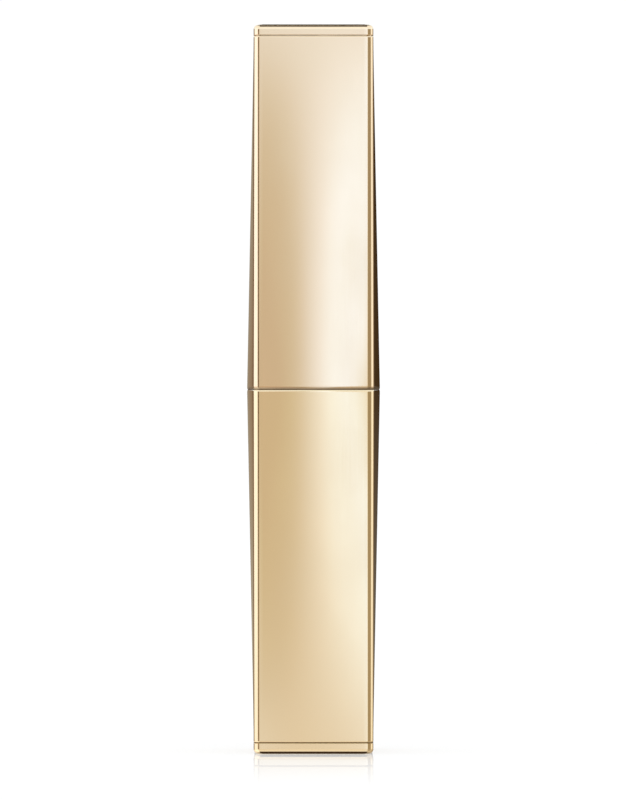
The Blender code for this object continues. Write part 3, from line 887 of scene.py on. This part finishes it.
def build_floor():
    """A white floor, partly self-lit, and polished where the case stands, so that its mirror image fades."""
    bm = bmesh.new()
    bmesh.ops.create_grid(bm, x_segments=8, y_segments=8, size=FLOOR_HALF)
    mesh = bpy.data.meshes.new("studio_floor")
    bm.to_mesh(mesh)
    bm.free()
    floor = bpy.data.objects.new("studio_floor", mesh)
    bpy.context.scene.collection.objects.link(floor)
    floor.location.z = -FLOOR_GAP
    floor.visible_glossy = False
    material, tree, shader = new_material("floor_sheet")
    tree.nodes.remove(shader)
    matt = add_node(tree, "ShaderNodeBsdfDiffuse", Color=(0.95, 0.95, 0.95, 1.0))
    glow = add_node(tree, "ShaderNodeEmission", Color=(1.0, 1.0, 1.0, 1.0), Strength=FLOOR_GLOW)
    sheet = tree.nodes.new("ShaderNodeMixShader")
    sheet.inputs["Fac"].default_value = FLOOR_GLOW_SHARE
    tree.links.new(matt.outputs["BSDF"], sheet.inputs[1])
    tree.links.new(glow.outputs["Emission"], sheet.inputs[2])
    mirror = add_node(tree, "ShaderNodeBsdfGlossy", Color=(1.0, 1.0, 1.0, 1.0), Roughness=0.0)
    ball = tree.nodes.new("ShaderNodeTexGradient")
    ball.gradient_type = "QUADRATIC_SPHERE"
    tree.links.new(object_coords(tree, (1 / SHEEN_REACH,) * 3), ball.inputs["Vector"])
    mix = tree.nodes.new("ShaderNodeMixShader")
    tree.links.new(spread(tree, ball.outputs["Fac"], 0.0, SHEEN, 0.0, 1.0), mix.inputs["Fac"])
    output = tree.nodes["Material Output"]
    tree.links.new(sheet.outputs["Shader"], mix.inputs[1])
    tree.links.new(mirror.outputs["BSDF"], mix.inputs[2])
    tree.links.new(mix.outputs["Shader"], output.inputs["Surface"])
    mesh.materials.append(material)


# The softbox's size and place in metres, its brightness as seen from the bullet, and its colour.
STRIP_DISTANCE = 0.5
STRIP_WIDTH = 0.44
STRIP_HEIGHT = 0.6
STRIP_RADIANCE = 3.15
STRIP_COLOUR = (0.34, 0.94, 1.0)


def build_strip_light(bullet):
    """A tall softbox on the left that only the bullet's gloss sees."""
    data = bpy.data.lights.new("strip_softbox", "AREA")
    data.shape = "RECTANGLE"
    data.size = STRIP_WIDTH
    data.size_y = STRIP_HEIGHT
    data.energy = math.pi * STRIP_WIDTH * STRIP_HEIGHT * STRIP_RADIANCE
    data.color = STRIP_COLOUR
    light = bpy.data.objects.new("strip_softbox", data)
    light.location = (-STRIP_DISTANCE, 0.0, BULLET_HIGH.z)
    light.rotation_euler = (math.radians(90), 0.0, math.radians(-90))
    light.visible_camera = False
    light.visible_diffuse = False
    bpy.context.scene.collection.objects.link(light)
    lit_pieces = bpy.data.collections.new("strip_softbox_pieces")
    lit_pieces.objects.link(bullet)
    light.light_linking.receiver_collection = lit_pieces


CAMERA_DISTANCE = 0.85
SENSOR = 36.0
# What the picture's longer side takes in at the case.
VIEW_HEIGHT = 100 * MM
EYE_HEIGHT = 43.9 * MM


def build_camera():
    """A long lens straight in front of the case, level."""
    camera = bpy.data.objects.new("camera", bpy.data.cameras.new("camera"))
    camera.data.sensor_width = SENSOR
    camera.data.lens = SENSOR * CAMERA_DISTANCE / VIEW_HEIGHT
    camera.location = (0.0, -CAMERA_DISTANCE, EYE_HEIGHT)
    camera.rotation_euler = (math.radians(90), 0.0, 0.0)
    camera.data.clip_start = 10 * MM
    bpy.context.scene.collection.objects.link(camera)
    bpy.context.scene.camera = camera
    bpy.context.scene.view_settings.view_transform = "Standard"


# ---------------------------------------------------------------- put it together
def place(piece, body, node, slot, *materials):
    """Stand a piece in for its CAD node, on the node's body, in its own materials."""
    for material in materials:
        piece.data.materials.append(material)
    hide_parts(node)
    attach(piece, body)


def repaint(node, material):
    """Give a CAD node that stays a procedural material and smooth shading."""
    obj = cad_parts[node]
    obj.data.shade_smooth()
    obj.data.set_sharp_from_angle(angle=SHARP_ANGLE)
    obj.data.materials.clear()
    obj.data.materials.append(material)


build_camera()
build_world()
build_floor()

cap_gold = gold("cap_gold", (0.92, 0.75, 0.515), (0.90, 0.74, 0.505), 0.12)
base_gold = gold("base_gold", (0.93, 0.765, 0.49), (0.91, 0.75, 0.48), 0.12)
tube_gold = gold("tube_gold", (0.92, 0.75, 0.515), (0.90, 0.74, 0.505), 0.062)
# Painted shade in the seam's gap: the darkest metal.
seam_painted_shade = plain_metal("seam_painted_shade", (0.25, 0.185, 0.115), 0.4)
# Painted shade on the cap's mouth edge above the seam: a darker band, then a faint half shade.
mouth_painted_shade = plain_metal("mouth_painted_shade", (0.42, 0.33, 0.215), 0.2)
mouth_painted_half_shade = plain_metal("mouth_painted_half_shade", (0.72, 0.58, 0.41), 0.16)
# Painted shade in the end plates' joints: deeper on the foot, fainter on the crown.
foot_joint_painted_shade = plain_metal("foot_joint_painted_shade", (0.44, 0.32, 0.18), 0.4)
crown_joint_painted_shade = plain_metal("crown_joint_painted_shade", (0.88, 0.74, 0.54), 0.3)
place(build_cap_case(), "cap", "cap_shell", "cap_gold", cap_gold, seam_painted_shade, mouth_painted_shade, mouth_painted_half_shade)
place(build_crown(), "cap", "cap_end_plate", "cap_gold_plate", cap_gold, crown_joint_painted_shade)
liner_plastic = moulded("liner_plastic", (0.62, 0.56, 0.46), 0.4)
place(build_liner(), "cap", "cap_liner", "liner_plastic", liner_plastic)
place(build_base_case(), "base", "base_shell", "base_gold", base_gold, seam_painted_shade)
place(build_foot(), "base", "base_end_plate", "base_gold_plate", base_gold, foot_joint_painted_shade)
collar_gold = moulded("collar_gold", (0.62, 0.45, 0.24), 0.35)
place(build_collar(), "base", "base_collar", "collar_gold", collar_gold)
place(build_tube(), "tube", "tube_sleeve", "tube_gold", tube_gold)
bullet = build_bullet()
place(bullet, "bullet", "lipstick_bullet", "bullet_wax", wax("bullet_wax"))
build_strip_light(bullet)
ornament = build_ornament()
ornament.data.materials.append(ink("print_ink"))
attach(ornament, "tube")

repaint("base_core", moulded("core_plastic", (0.58, 0.55, 0.50), 0.5))
repaint("spiral_sleeve", moulded("spiral_plastic", (0.78, 0.78, 0.75), 0.45))
repaint("guide_sleeve", moulded("guide_plastic", (0.75, 0.73, 0.68), 0.4))
repaint("bullet_carrier", moulded("carrier_plastic", (0.84, 0.84, 0.82), 0.4))
repaint("friction_ring", moulded("ring_rubber", (0.02, 0.02, 0.02), 0.6))
repaint("shade_label", moulded("label_film", (0.83, 0.80, 0.74), 0.55))
repaint("base_weight", plain_metal("weight_steel", (0.42, 0.42, 0.43), 0.4))
magnet = plain_metal("magnet_nickel", (0.66, 0.65, 0.62), 0.22)
for number in range(1, MAGNET_COUNT + 1):
    repaint(f"base_magnet_{number}", magnet)
    repaint(f"cap_magnet_{number}", magnet)
